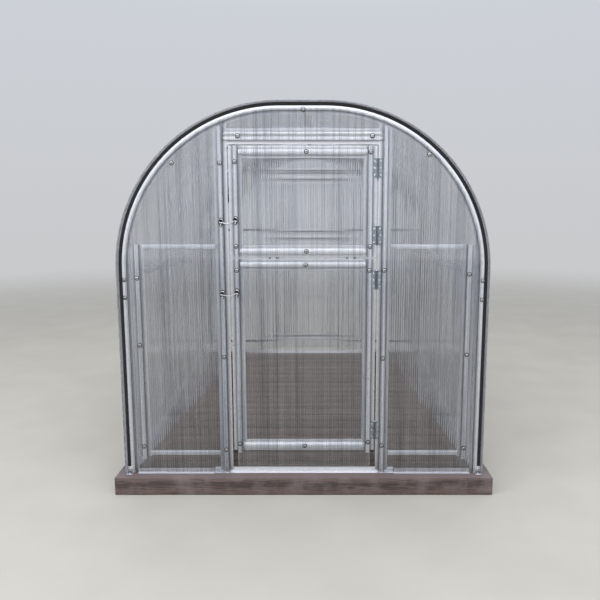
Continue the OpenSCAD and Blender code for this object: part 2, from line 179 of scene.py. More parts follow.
def piece(name, shapes, finish, nodes=(), place=Matrix(), body="root"):
    """Makes one object of many shapes, which rides on a body and stands for CAD nodes."""
    points, faces = [], []
    for some_points, some_faces in moved(shapes, place):
        start = len(points)
        points += some_points
        faces += [tuple(i + start for i in face) for face in some_faces]
    made = new_mesh(name, points, faces, finish)
    work = bmesh.new()
    work.from_mesh(made.data)
    bmesh.ops.recalc_face_normals(work, faces=work.faces)
    work.to_mesh(made.data)
    work.free()
    made.data.shade_smooth()
    made.data.set_sharp_from_angle(angle=SHARP)
    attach(made, body)
    if nodes:
        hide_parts(*nodes)
    print(name, len(faces), "faces")


# %% Places: the front end, and the rear end, which is the front turned round
FRONT = Matrix.Translation((0, FRONT_Y, BASE_TOP))
REAR = Matrix.Rotation(math.pi, 4, "Z") @ FRONT
FLOOR = Matrix.Translation((0, 0, BASE_TOP))


def at_both_ends(shapes):
    return moved(shapes, FRONT) + moved(shapes, REAR)


def frame_pieces(*parts):
    """Makes parts of the frame at the front and at the rear. A part is given by the name of
    its piece, its shapes, its finish and the name of its CAD node."""
    for end, place in (("front", FRONT), ("rear", REAR)):
        for part, shapes, finish, node in parts:
            piece(f"{end}_{part}", shapes, finish, [f"{end}_{node}"], place)


print("front at y", round(FRONT_Y, 3), "and rear at y", round(REAR.translation.y, 3))

# %% [markdown]
# ## Colours and nodes
# Colours are written as they look on a screen and turned to linear light in one place. One
# small tool adds a node with its settings and its links. The scale of a pattern says how many
# of its specks come in a metre: 1000 divided by their real size in millimetres.

# %% Colours, and the tool that adds a node
def colour(hex_code):
    values = [int(hex_code[i:i + 2], 16) / 255 for i in (1, 3, 5)]
    return tuple(v / 12.92 if v <= 0.04045 else ((v + 0.055) / 1.055) ** 2.4
                 for v in values) + (1.0,)


def grey(value):
    return (value, value, value, 1.0)


def add_node(tree, kind, inputs=(), stops=(), **settings):
    """Adds a shader node. Inputs are given by name, or in order. Each is a plain value, a hex
    colour, a socket to link from, or a node, whose first output in use is linked."""
    made = tree.nodes.new("ShaderNode" + kind)
    for name, value in settings.items():
        setattr(made, name, value)
    used = [socket for socket in made.inputs if socket.enabled]
    if isinstance(inputs, dict):
        named = {socket.name: socket for socket in reversed(used)}
        used, inputs = [named[name] for name in inputs], inputs.values()
    for socket, value in zip(used, inputs):
        if isinstance(value, bpy.types.Node):
            value = next(output for output in value.outputs if output.enabled)
        if isinstance(value, bpy.types.NodeSocket):
            tree.links.new(value, socket)
        else:
            socket.default_value = colour(value) if isinstance(value, str) else value
    for i, (position, shade) in enumerate(stops):
        points = made.color_ramp.elements
        stop = points[i] if i < len(points) else points.new(position)
        stop.position = position
        stop.color = colour(shade) if isinstance(shade, str) else shade
    return made


# %% Start a material, and draw out a noise
def material(name):
    """A new material, the tool that adds nodes to it, and the place on the object."""
    made = bpy.data.materials.new(name)
    made.use_nodes = True
    made.node_tree.nodes.clear()
    add = functools.partial(add_node, made.node_tree)
    print("finish", name)
    return made, add, add("TexCoord").outputs["Object"]


def streaks(add, place, stretch, detail, roughness=0.5):
    """Noise whose specks are drawn out. Stretch says how many come in a metre each way."""
    drawn = add("Mapping", {"Vector": place, "Scale": stretch})
    return add("TexNoise", {"Vector": drawn, "Scale": 1.0, "Detail": detail,
                            "Roughness": roughness})


# %% [markdown]
# ### Hot-dip galvanised steel
# The frame is thin steel strip with a zinc coat, rolled into profiles. New zinc is a pale
# blue grey with a soft sheen. Two things tell the eye that it is zinc: the spangle, flat
# crystals some 10 mm wide that each catch the light a little differently, and fine lines
# along the strip from the rollers. The lines are really below 1 mm apart. They are drawn
# about 3 mm apart, so that they show. Painted shade darkens the folds beside a crown, which
# makes the flanges darker. The rails and the strips that lie flat get a lighter zinc, which is
# painted light for the sky above them.

# %% Make the steel, once for each direction in which the strip runs
def galvanised(name, stretch, light=("#CFD2DA", "#DFE1E8"), fold_unshaded=0.0, rough=(0.26, 0.34)):
    """Light is the zinc's darkest and lightest tone. The next argument sets the painted shade in
    the folds: at 0 they are darkened fully, at 1 not at all."""
    made, add, place = material(name)
    # Crystals 10.5 mm wide, and clouds of tone 200 mm wide
    spangle = add("TexVoronoi", {"Vector": place, "Scale": 95.0})
    crystal = add("SeparateColor", [spangle.outputs["Color"]])
    rolled = streaks(add, place, stretch, 3.0, 0.6)
    cloud = add("TexNoise", {"Vector": place, "Scale": 5.0, "Detail": 4.0})
    tone = add("Mix", [0.5, crystal, cloud], data_type="FLOAT")
    shade = add("ValToRGB", [tone], stops=[(0.2, light[0]), (0.8, light[1])])
    # Painted shade: where occlusion rays find the steel's own folds, the zinc is darkened towards
    # #43474F
    fold = add("AmbientOcclusion", {"Distance": 60 * MM}, samples=8, only_local=True)
    unshaded = add("MapRange", {"Value": fold.outputs["AO"], "From Min": 0.6, "To Min": fold_unshaded})
    shade = add("Mix", [unshaded, "#43474F", shade], data_type="RGBA")
    sheen = add("MapRange", {"Value": tone, "To Min": rough[0], "To Max": rough[1]})
    relief = add("Bump", {"Height": rolled, "Strength": 0.2, "Distance": 0.04 * MM})
    skin = add("BsdfPrincipled", {"Base Color": shade, "Metallic": 1.0, "Roughness": sheen,
                                  "Normal": relief})
    add("OutputMaterial", [skin])
    return made


# Roller lines are 2.9 mm apart and 250 mm long. A bent strip runs in no one direction, so it
# has even specks 25 mm wide
ROLLED_ALONG_X, ROLLED_ALONG_Y, ROLLED_ALONG_Z = (4, 350, 350), (350, 4, 350), (350, 350, 4)
steel_upright = galvanised("galvanised_strip_upright", ROLLED_ALONG_Z)
steel_level = galvanised("galvanised_strip_level", ROLLED_ALONG_X)
steel_long = galvanised("galvanised_strip_lengthwise", ROLLED_ALONG_Y, fold_unshaded=0.75)
steel_bent = galvanised("galvanised_strip_bent", (40, 40, 40))
# Painted light: a lighter zinc on the rails and on the strips that lie flat, standing in for the
# sky light that falls on them
PAINTED_LIGHT_ZINC = ("#E4E5EB", "#F1F2F6")
WEATHERED = (0.4, 0.48)
steel_rail = galvanised("galvanised_strip_crowned", ROLLED_ALONG_X, PAINTED_LIGHT_ZINC, 0.4, WEATHERED)
steel_painted_lighter = galvanised("galvanised_strip_painted_lighter", ROLLED_ALONG_X, PAINTED_LIGHT_ZINC, 0.75, WEATHERED)

# %% [markdown]
# ### Zinc-plated fittings
# Hinges are stamped from thicker steel and electroplated. The coat is thin and passivated, so
# it is darker and bluer than the frame. Washers and pins are plated bright, which gives small
# hard highlights, and screw heads and knuckles have dulled.

# %% Make the plated finishes
def plated(name, dark, light, smooth, dull, relief_mm):
    """The plating has dull clouds 17 mm wide, and a grain of 1.1 mm."""
    made, add, place = material(name)
    cloud = add("TexNoise", {"Vector": place, "Scale": 60.0, "Detail": 5.0, "Roughness": 0.65})
    shade = add("ValToRGB", [cloud], stops=[(0.3, dark), (0.7, light)])
    sheen = add("MapRange", {"Value": cloud, "To Min": smooth, "To Max": dull})
    fine = add("TexNoise", {"Vector": place, "Scale": 900.0})
    relief = add("Bump", {"Height": fine, "Strength": 0.3, "Distance": relief_mm * MM})
    skin = add("BsdfPrincipled", {"Base Color": shade, "Metallic": 1.0, "Roughness": sheen,
                                  "Normal": relief})
    add("OutputMaterial", [skin])
    return made


zinc_stamped = plated("zinc_passivated_stampings", "#6C7580", "#A4ACB5", 0.34, 0.5, 0.1)
zinc_bright = plated("zinc_bright_washers", "#C2C5C6", "#DEE0E1", 0.12, 0.24, 0.02)
zinc_dull = plated("zinc_dulled_heads_and_knuckles", "#5C6066", "#80848A", 0.16, 0.28, 0.02)

# %% [markdown]
# Screw eyes are polished wire. A round wire mirrors the sky on its upper side and the dark
# ground on its lower side. The studio has no dark ground, so that reflection is painted: the
# finish is light where it faces up and dark elsewhere.

# %% Make the polished wire
polished_wire, add, place = material("zinc_polished_wire")
facing = add("SeparateXYZ", [add("NewGeometry").outputs["Normal"]])
# Worn spots are 3.3 mm wide
worn = add("TexNoise", {"Vector": place, "Scale": 300.0})
# Painted reflection of sky and ground: near white where the wire faces up, near black below
painted_reflection = add("MapRange", {"Value": facing.outputs["Z"], "From Max": 0.5})
shade = add("Mix", [painted_reflection, "#1A1C1F", "#F0F1F3"], data_type="RGBA")
sheen = add("MapRange", {"Value": worn, "To Min": 0.14, "To Max": 0.26})
skin = add("BsdfPrincipled", {"Base Color": shade, "Metallic": 1.0, "Roughness": sheen})
add("OutputMaterial", [skin])

# %% [markdown]
# ### EPDM rubber
# The gasket and the seals under the screws are extruded black EPDM. It is matt and soft, and
# its black is never quite black: it greys where it curves away.

# %% Make the rubber
rubber, add, place = material("extruded_epdm")
# Dust lies in patches 40 mm wide, and the pores are 0.8 mm wide
dust = add("TexNoise", {"Vector": place, "Scale": 25.0, "Detail": 6.0})
shade = add("ValToRGB", [dust], stops=[(0.35, "#0B0C11"), (0.75, "#1B1D24")])
pores = add("TexNoise", {"Vector": place, "Scale": 1200.0})
relief = add("Bump", {"Height": pores, "Strength": 0.4, "Distance": 0.1 * MM})
skin = add("BsdfPrincipled", {"Base Color": shade, "Roughness": 0.8, "IOR": 1.52,
                              "Normal": relief})
add("OutputMaterial", [skin])

# %% [markdown]
# ### Twin-wall polycarbonate
# The sheets are two thin clear skins joined by ribs, extruded in one go. The plastic is as
# clear as glass, but each rib pulls the skins in a little, so the skins are a row of weak
# lenses. What stands behind is smeared across the ribs and stays sharp along them. The ribs
# are really 5.7 mm apart. They are drawn 12 mm apart, because closer lines would only melt
# into a grey tone. Polycarbonate bends light by 1.585. A shadow ray goes straight through,
# because plastic this thin throws hardly any shadow.

# %% The flutes of a sheet, which repeat along X or along Y
RIB_PITCH = 12 * MM


def flutes(add, place, across, uneven):
    """The height of the skins: a row of weak lenses, some pulled in more than others."""
    split = add("SeparateXYZ", [place]).outputs[across]
    turns = add("Math", [split, 2 * math.pi / RIB_PITCH], operation="MULTIPLY")
    lens = add("Math", [turns], operation="SINE")
    pull = add("MapRange", {"Value": uneven, "From Min": 0.3, "From Max": 0.7, "To Min": 0.4,
                            "To Max": 1.6})
    # A sheet is thick between two ribs and thin at a rib on both sides alike. Where a ray
    # leaves the plastic the bump is read from inside, so the height is turned over there
    inside = add("NewGeometry").outputs["Backfacing"]
    turn = add("MapRange", {"Value": inside, "To Min": 1.0, "To Max": -1.0})
    height = add("Math", [lens, pull], operation="MULTIPLY")
    return add("Math", [height, turn], operation="MULTIPLY")


# %% Make the sheet
def twin_wall(name, across, haze):
    made, add, place = material(name)
    # The skins are uneven in streaks 13 mm wide and at least 1 m long
    stretch = {"X": (75, 1, 0.8), "Y": (0.8, 75, 0.8)}[across]
    uneven = streaks(add, place, stretch, 4.0, 0.7)
    relief = add("Bump", {"Height": flutes(add, place, across, uneven), "Strength": 1.0,
                          "Distance": 0.09 * MM})
    tint = add("ValToRGB", [uneven], stops=[(0.33, "#C6CAD2"), (0.5, "#E9EBEE"),
                                            (0.66, "#FDFDFE")])
    clear = add("BsdfPrincipled", {"Base Color": tint, "Roughness": 0.03, "IOR": 1.585,
                                   "Transmission Weight": 1.0, "Normal": relief})
    # Haze: a thin film of scattered light, stronger on the uneven flutes
    cloudy = add("MixShader", [0.5, add("BsdfDiffuse", ["#EEF2F4"]),
                               add("BsdfTranslucent", ["#EEF2F4"])])
    veil = add("MapRange", {"Value": uneven, "From Min": 0.45, "From Max": 0.72,
                            "To Min": haze * 0.4, "To Max": haze * 3.5})
    body = add("MixShader", [veil, clear, cloudy])
    shadow_ray = add("LightPath").outputs["Is Shadow Ray"]
    through = add("BsdfTransparent", [grey(0.94)])
    add("OutputMaterial", [add("MixShader", [shadow_ray, body, through])])
    return made


end_sheet = twin_wall("twin_wall_polycarbonate_upright", "X", 0.02)
roof_sheet = twin_wall("twin_wall_polycarbonate_round_the_arch", "Y", 0.045)

# %% [markdown]
# The ribs inside the sheet are the same plastic, 0.3 mm thick. Seen edge on they are fine
# grey lines, so they are mostly see-through with a little milky white. They are drawn 0.9 mm
# thick, so that they show.

# %% Make the finish of the ribs, and of those along the cut edges, which look whiter
def milky_rib(name, white, inner, patch, dark):
    """White is how opaque it is, inner how much light comes through from behind. Patches of
    the colour dark come patch times in a metre."""
    made, add, place = material(name)
    tint = add("TexNoise", {"Vector": place, "Scale": patch})
    shade = add("ValToRGB", [tint], stops=[(0.35, dark), (0.6, "#EDEFF4")])
    milky = add("MixShader", [inner, add("BsdfDiffuse", [shade]),
                              add("BsdfTranslucent", [shade])])
    through = add("BsdfTransparent", [grey(0.95)])
    skin = add("MixShader", [white, through, milky])
    shadow_ray = add("LightPath").outputs["Is Shadow Ray"]
    add("OutputMaterial", [add("MixShader", [shadow_ray, skin, through])])
    return made


# Patches are 50 mm wide on the ribs, and 17 mm on the cut edges
rib_skin = milky_rib("polycarbonate_rib", 0.4, 0.5, 20.0, "#D9DCE4")
edge_skin = milky_rib("polycarbonate_cut_edge", 0.9, 0.3, 60.0, "#C2C5D2")

# %% [markdown]
# ### Stained softwood
# The base is pressure-treated softwood under a dark brown stain. Growth rings are some 5 mm
# apart. Because the stretched rings run with the timber, the same pattern gives long grain on
# the faces and arcs on the cut ends. The stain has worn to a mauve grey in patches, and the
# tops are paler still, by wear and by painted light from above.

# %% Separate boards
BOARD_PITCH = 138 * MM
# The floor's joints are counted from this one, where the narrow first board ends
FIRST_JOINT = -1.329


def separate_boards(add, place):
    """Every board is cut from another part of the log, so the pattern jumps from one to the
    next. Gives the new place and the board's own chance number."""
    row = add("Math", [add("SeparateXYZ", [place]).outputs["Y"], FIRST_JOINT],
              operation="SUBTRACT")
    row = add("Math", [row, BOARD_PITCH], operation="DIVIDE")
    chance = add("TexWhiteNoise", {"W": add("Math", [row], operation="FLOOR")},
                 noise_dimensions="1D")
    jump = add("VectorMath", [chance.outputs["Color"], (9.0, 0.3, 0.3)], operation="MULTIPLY")
    return add("VectorMath", [place, jump], operation="ADD"), chance.outputs["Value"]


# %% Growth rings and fibres
def grain(add, place, along):
    """Growth rings and fibres, stretched along the timber's length."""
    axis = "XY".index(along)
    ring_scale, fibre_scale = [1.0, 1.0, 1.0], [900.0, 900.0, 900.0]
    ring_scale[axis], fibre_scale[axis] = 0.07, 12.0
    heart = add("Mapping", {"Vector": place, "Scale": ring_scale,
                            "Location": (0.02, 0.013, 0.05)})
    # The crests of a wave of scale 62 lie 2 pi / (20 * 62) m, or 5 mm, apart. The fibres are
    # 1.1 mm wide and 83 mm long
    rings = add("TexWave", {"Vector": heart, "Scale": 62.0, "Distortion": 5.0, "Detail": 3.0,
                            "Detail Scale": 2.0}, wave_type="RINGS", rings_direction=along)
    fibre = streaks(add, place, fibre_scale, 4.0)
    return add("Mix", [0.45, rings.outputs["Fac"], fibre], data_type="FLOAT")


# %% Make the timber, once for each direction in which it runs
def stained(name, along, dark, mid, worn, top, boards=False):
    """Top is how far the faces that lie level turn to the worn colour, by wear and by painted
    light from above.
    """
    made, add, place = material(name)
    if boards:
        place, chance = separate_boards(add, place)
    tone = grain(add, place, along)
    shade = add("ValToRGB", [tone], stops=[(0.25, dark), (0.8, mid)])
    # Worn patches are 140 mm wide
    patch = add("TexNoise", {"Vector": place, "Scale": 7.0, "Detail": 6.0, "Roughness": 0.65})
    wear_and_top_light = [add("MapRange", {"Value": patch, "From Min": 0.45, "From Max": 0.72,
                             "To Max": 0.55})]
    if boards:
        # Pale streaks, 13 mm wide and 670 mm long, where the stain has worn off the grain
        streak = streaks(add, place, (1.5, 75, 75), 3.0)
        wear_and_top_light.append(add("MapRange", {"Value": streak, "From Min": 0.5, "From Max": 0.68,
                                     "To Max": 0.7}))
    # Faces that lie level are paler: worn by rain and feet, and given painted light from above
    facing = add("SeparateXYZ", [add("NewGeometry").outputs["Normal"]])
    wear_and_top_light.append(add("MapRange", {"Value": facing.outputs["Z"], "From Min": 0.6, "To Max": top}))
    for amount in wear_and_top_light:
        shade = add("Mix", [amount, shade, worn], data_type="RGBA")
    if boards:
        lift = add("MapRange", {"Value": chance, "To Min": 0.75, "To Max": 1.25})
        shade = add("HueSaturation", {"Color": shade, "Value": lift})
    relief = add("Bump", {"Height": tone, "Strength": 0.5, "Distance": 0.6 * MM})
    skin = add("BsdfPrincipled", {"Base Color": shade, "Roughness": 0.62, "IOR": 1.5,
                                  "Normal": relief})
    add("OutputMaterial", [skin])
    return made


BEAM_STAIN = ("#3F3534", "#665653", "#8E8284", 0.6)
beam_across = stained("stained_beam_across", "X", *BEAM_STAIN)
beam_along = stained("stained_beam_along", "Y", *BEAM_STAIN)
floor_wood = stained("stained_floor_board", "X", "#2C2120", "#5A4744", "#8E7771", 0.1,
                     boards=True)

# %% [markdown]
# ## The timber base
# Four beams lie flat on the ground, butted at the corners. Sawn timber has soft edges and is
# never quite straight, so each beam is a loft whose outline shrinks a little here and there,
# always inwards. The floor is a row of separate boards with narrow gaps; the first and the
# last were ripped to fit.

# %% Sawn timber
CHAMFER = 2 * MM
SAWN_STEPS = 12


def sawn(low, high, axis, edge=4 * MM, wobble=MM):
    """A bar of timber along X (0) or Y (1), with soft edges and chamfered ends."""
    across = [i for i in range(3) if i != axis]
    half = [(high[i] - low[i]) / 2 for i in across]
    middle = [(high[i] + low[i]) / 2 for i in across]
    outline = rounded(rectangle(-half[0], half[0], -half[1], half[1]), edge, 2)
    length = high[axis] - low[axis]
    stations = [length * k / SAWN_STEPS for k in range(1, SAWN_STEPS)]
    rings = []
    for station in [0.0, CHAMFER] + stations + [length - CHAMFER, length]:
        inset = CHAMFER if station in (0.0, length) else 0.0
        ring = []
        for spot in outline:
            shrink = inset + random.uniform(0, wobble)
            point = [low[axis] + station] * 3
            for i, a, m, h in zip(across, spot, middle, half):
                point[i] = m + a * (1 - shrink / h)
            ring.append(point)
        rings.append(ring)
    return loft(rings)


# %% Beams
def recoat(node, finish):
    """Gives its finish to a CAD node that stays in sight."""
    finishes = frame["nodes"][node].data.materials
    finishes.clear()
    finishes.append(finish)


outer_low, outer_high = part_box("base_end_beams")
side_low, side_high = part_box("base_side_beams")
deck_low, deck_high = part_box("deck")
ends = [sawn((outer_low[0], y0, 0), (outer_high[0], y1, BASE_TOP), 0)
        for y0, y1 in ((outer_low[1], -side_high[1]), (side_high[1], outer_high[1]))]
piece("base_beams_at_the_ends", ends, beam_across, ["base_end_beams"])
sides = [sawn((x0, side_low[1] + MM, 0), (x1, side_high[1] - MM, BASE_TOP), 1)
         for x0, x1 in ((side_low[0], deck_low[0]), (deck_high[0], side_high[0]))]
piece("base_beams_at_the_sides", sides, beam_along, ["base_side_beams"])
recoat("deck_joists", beam_along)

# %% Floor boards
BOARD_GAP = 8 * MM
END_GAP = 2 * MM
NARROWEST = 20 * MM
count = math.ceil((deck_high[1] - NARROWEST - FIRST_JOINT) / BOARD_PITCH)
joints = [FIRST_JOINT + k * BOARD_PITCH for k in range(count)]
joints = [deck_low[1]] + joints + [deck_high[1]]
boards = [sawn((deck_low[0] + END_GAP, y0 + BOARD_GAP / 2, deck_low[2]),
               (deck_high[0] - END_GAP, y1 - BOARD_GAP / 2, deck_high[2]), 0, 5 * MM, 0.6 * MM)
          for y0, y1 in zip(joints, joints[1:])]
piece("floor_boards", boards, floor_wood, ["deck"])
print(len(boards), "boards")

# %% [markdown]
# ## The arch
# The hoops, the gasket and the roof sheet all follow one line: up a wall, round a bend of
# 880 mm, over a short flat top and down again. A station is a place on that line and the
# direction that points outwards there, so any outline can be carried round it.

# %% Stations round the arch, and outlines carried round it
ARCH_STEPS = 32


def arch_stations():
    stations = [(-BEND_X, 0.0, -1.0, 0.0), (-BEND_X, WALL_H, -1.0, 0.0)]
    for centre, first in ((-BEND_X, 180), (BEND_X, 90)):
        for k in range(0 if first == 90 else 1, ARCH_STEPS + 1):
            turn = math.radians(first - 90 * k / ARCH_STEPS)
            stations.append((centre, WALL_H, math.cos(turn), math.sin(turn)))
    stations.append((BEND_X, 0.0, 1.0, 0.0))
    return stations


def round_the_arch(outline):
    """An outline of (radius, y) points carried round the arch."""
    return loft([[(cx + r * dx, y, cz + r * dz) for r, y in outline]
                 for cx, cz, dx, dz in STATIONS])


def arch_height(x, radius):
    """How high the arch of that radius stands over the base at x."""
    past = max(0.0, abs(x) - BEND_X)
    return WALL_H + math.sqrt(max(0.0, radius ** 2 - past ** 2))


STATIONS = arch_stations()
print(len(STATIONS), "stations, up to", round(arch_height(0, BEND_R), 3), "over the base")

# %% [markdown]
# An end hoop is a hat profile bent on edge. Its outer flange turns back as a lip, and the
# roof sheet is screwed down on that lip. The middle hoops are plain hats, crown up.

# %% Crowns and corners
BULGE = 1 * MM
FLANGE_FACE = HAT_D - STEEL
TIGHT_BEND, GENTLE_BEND, SOFT_BEND = 2 * MM, 3 * MM, 8 * MM
CROWN_STEPS = 3


def crowned(x0, x1, depth, bulge):
    """The crown from x0 to x1: an arc that stands out by bulge in its middle."""
    half, middle = (x1 - x0) / 2, (x0 + x1) / 2
    shares = [k / CROWN_STEPS for k in range(-CROWN_STEPS, CROWN_STEPS + 1)]
    return [(middle + half * share, depth + bulge * share ** 2) for share in shares]


def soft_corners(outline, top, under, bend):
    """Rounds an outline, and bends it gently where a crown meets a web."""
    gentle = {outline.index(p): bend for p in (top[0], top[-1], under[0], under[-1])}
    return rounded(outline, TIGHT_BEND, 4, gentle)


def web_corners(crown):
    """Half the width inside a crown, at its underside and at the back of the flanges."""
    slope = WEB_RUN / FLANGE_FACE
    skew = STEEL * math.sqrt(1 + slope * slope)
    return crown / 2 - skew + slope * STEEL, crown / 2 - skew + slope * HAT_D


def plain_crown(half, depth):
    return crowned(-half, half, depth, BULGE)


# %% The outline of a hat profile
def crown_and_flanges(edge, flange, middle, crown, across, bend):
    """Outline of a profile: across its width, and back from its crown. One flange ends at
    edge, the other is a line of points. Across gives the line over the crown from half its
    width and its depth."""
    near, far = web_corners(crown)
    half = crown / 2
    top = [(middle + a, d) for a, d in across(half, 0)]
    under = [(middle + a, d) for a, d in across(near, STEEL)[::-1]]
    outline = [(edge, FLANGE_FACE), (middle - half - WEB_RUN, FLANGE_FACE)] + top
    outline += [(middle + half + WEB_RUN, FLANGE_FACE)] + flange + [(middle + far, HAT_D)]
    outline += under + [(middle - far, HAT_D), (edge, HAT_D)]
    return soft_corners(outline, top, under, bend)


def hat(width, crown, across, bend):
    flange = [(width / 2, FLANGE_FACE), (width / 2, HAT_D)]
    return crown_and_flanges(-width / 2, flange, 0, crown, across, bend)


HAT = hat(HAT_W, CROWN, plain_crown, GENTLE_BEND)
print("the hat profile has", len(HAT), "points")


# %% End hoops and middle hoops
UNDER_ROOF = ROOF_IN - SKIN_GAP
lip = [(UNDER_ROOF, FLANGE_FACE), (UNDER_ROOF, LIP_D), (UNDER_ROOF - STEEL, LIP_D),
       (UNDER_ROOF - STEEL, HAT_D)]
end_hoop = round_the_arch(crown_and_flanges(HOOP_IN, lip, (CROWN_IN + CROWN_OUT) / 2, CROWN,
                                            plain_crown, GENTLE_BEND))
frame_pieces(("hoop_profile", [end_hoop], steel_bent, "hoop"))
hoop_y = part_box("middle_hoops")[1][1] - HAT_W / 2
hoops = [round_the_arch([(UNDER_ROOF - depth, y + a) for a, depth in HAT])
         for y in (-hoop_y, hoop_y)]
piece("middle_hoop_profiles", hoops, steel_bent, ["middle_hoops"], FLOOR)

# %% [markdown]
# ## The roof sheet
# The roof is a closed slab 4 mm thick, with its ribs inside. The flutes run round the arch,
# because a sheet can only be bent along its flutes. The ribs stop short of both faces.

# %% Roof slab and ribs
RIB = 0.9 * MM
RIB_INSET = 0.5 * MM
EDGE_RIB = 1.1 * MM
EDGE_INSET = 0.8 * MM
FINE_PITCH = 5.7 * MM


def roof_rib(y, thick):
    return round_the_arch(rectangle(ROOF_IN + RIB_INSET, BEND_R - RIB_INSET,
                                    y - thick / 2, y + thick / 2))


slab = [round_the_arch(rectangle(ROOF_IN, BEND_R, -ROOF_END, ROOF_END))]
piece("roof_sheet_skins", slab, roof_sheet, ["roof_sheet"], FLOOR)
count = int(2 * (-FRONT_Y - RIB_PITCH / 2) / RIB_PITCH)
ribs = [roof_rib((k - count / 2) * RIB_PITCH, RIB) for k in range(count + 1)]
piece("roof_sheet_ribs", ribs, rib_skin, place=FLOOR)
# Past the end hoops the ribs are drawn at their real pitch. The last one closes the sheet
edge_ribs = [roof_rib(side * (ROOF_END - EDGE_INSET - k * FINE_PITCH), EDGE_RIB)
             for side in (-1, 1) for k in range(5)]
piece("roof_edge_ribs", edge_ribs, edge_skin, place=FLOOR)
print(len(ribs), "roof ribs")

# %% [markdown]
# ## The gasket
# A rubber strip fills the channel between the crown of each end hoop and the roof sheet. It
# is the black line round the arch.

# %% Gasket
gasket_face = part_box("edge_gaskets")[0][1] - FRONT_Y
foot = CROWN_OUT + WEB_RUN + SKIN_GAP
crest = CROWN_OUT + WEB_RUN * gasket_face / FLANGE_FACE + SKIN_GAP
strip = rounded([(crest, gasket_face), (UNDER_ROOF, gasket_face),
                 (UNDER_ROOF, FLANGE_FACE), (foot, FLANGE_FACE)], 2.5 * MM)
piece("arch_gaskets", at_both_ends([round_the_arch(strip)]), rubber,
      ["edge_gaskets"])

# %% [markdown]
# ## The end walls
# Both ends are made alike, so each piece is drawn once at Y = 0, with its crown to the front,
# and then placed at the front and, turned round, at the rear. Jambs and posts stand upright,
# and their tops follow the inside of the hoop.

# %% Upright and level lengths of a profile
def height(node, end):
    """The lowest (0) or highest (1) point of a node above the base."""
    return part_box(node)[end][2] - BASE_TOP


def standing(outline, low, high):
    """An outline of (x, y) points drawn up from low to high."""
    return loft([[(x, y, z) for x, y in outline] for z in (low, high)])


def upright(outline, x, low, high):
    return standing([(x + a, d) for a, d in outline], low, high)


def upright_to_hoop(outline, x, low):
    """An upright profile whose top follows the inside of the hoop."""
    return loft([[(x + a, d, low) for a, d in outline],
                 [(x + a, d, arch_height(x + a, HOOP_IN)) for a, d in outline]])


def level(outline, z, x0, x1):
    return loft([[(x, d, z + a) for a, d in outline] for x in (x0, x1)])


HALF_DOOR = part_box("front_jambs")[1][0] - HAT_W
JAMB_X = HALF_DOOR + HAT_W / 2
POST_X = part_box("front_posts")[1][0] - HAT_W / 2
print("half the doorway", round(HALF_DOOR, 3), "posts at", round(POST_X, 3))

# %% Jambs and posts
# The flanges of a post or a leaf's upright are cut back at the foot, the crown is not
CUT_BACK = 10 * MM
SEAT = FLANGE_FACE - SKIN_GAP


def crest_of(top):
    """Crowns and webs alone, as a closed outline down to the face of a flange."""
    outline = [(top[0][0] - WEB_RUN, SEAT)] + top + [(top[-1][0] + WEB_RUN, SEAT)]
    return soft_corners(outline, top, top, SOFT_BEND)


def crown_below(x, z):
    return upright(crest_of(plain_crown(CROWN / 2, 0)), x, z - CUT_BACK, z + MM)


post_foot = height("front_posts", 0)
jambs = mirrored([upright_to_hoop(HAT, JAMB_X, height("front_jambs", 0))])
posts = mirrored([upright(HAT, POST_X, post_foot, height("front_posts", 1)),
                  crown_below(POST_X, post_foot)])
frame_pieces(("door_jambs", jambs, steel_upright, "jambs"),
             ("wall_posts", posts, steel_upright, "posts"))

# %% [markdown]
# The crown of a rail or of the transom runs on over the flange beside it, and its end is
# pressed down to a rounded nose. That nose catches the light on every corner of the door, so
# it is a loft whose outline shrinks along a quarter of an ellipse.

# %% Pressed noses
NOSE_STEPS = 8
BLUNT = 0.995
TIP_WIDTH = 0.35


def nose(crest, z, start, end):
    """Closes a crown from x = start to a rounded tip at x = end. The crest is a line of
    (across, depth) points. The tip keeps a share of the width, and is a little blunt."""
    rings = []
    for t in [k / NOSE_STEPS for k in range(NOSE_STEPS + 1)]:
        size = math.sqrt(1 - min(t, BLUNT) ** 2)
        width = TIP_WIDTH + (1 - TIP_WIDTH) * size
        rings.append([(start + (end - start) * t, SEAT - (SEAT - d) * size, z + a * width)
                      for a, d in crest])
    return loft(rings)


def rail_with_noses(outline, crest, z, half, tip):
    """A level rail from -half to half, and a nose at each end that reaches tip."""
    inner = half - 0.1 * MM
    return [level(outline, z, -half, half), nose(crest, z, inner, tip),
            nose(crest, z, -inner, -tip)]


# %% The transom, a hat with two ribs and a groove between them
TRANSOM_W, TRANSOM_CROWN, TRANSOM_BULGE = 80 * MM, 44 * MM, 3 * MM
GROOVE_W, GROOVE_D = 10 * MM, 6 * MM


def two_ribs(half, depth):
    g = GROOVE_W / 2
    return (crowned(-half, -g, depth, TRANSOM_BULGE) + [(0, depth + GROOVE_D)]
            + crowned(g, half, depth, TRANSOM_BULGE))


transom = rail_with_noses(hat(TRANSOM_W, TRANSOM_CROWN, two_ribs, SOFT_BEND),
                          crest_of(two_ribs(TRANSOM_CROWN / 2, 0)),
                          (height("front_transom", 0) + height("front_transom", 1)) / 2,
                          HALF_DOOR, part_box("front_transom")[1][0])
frame_pieces(("door_transom", transom, steel_rail, "transom"))

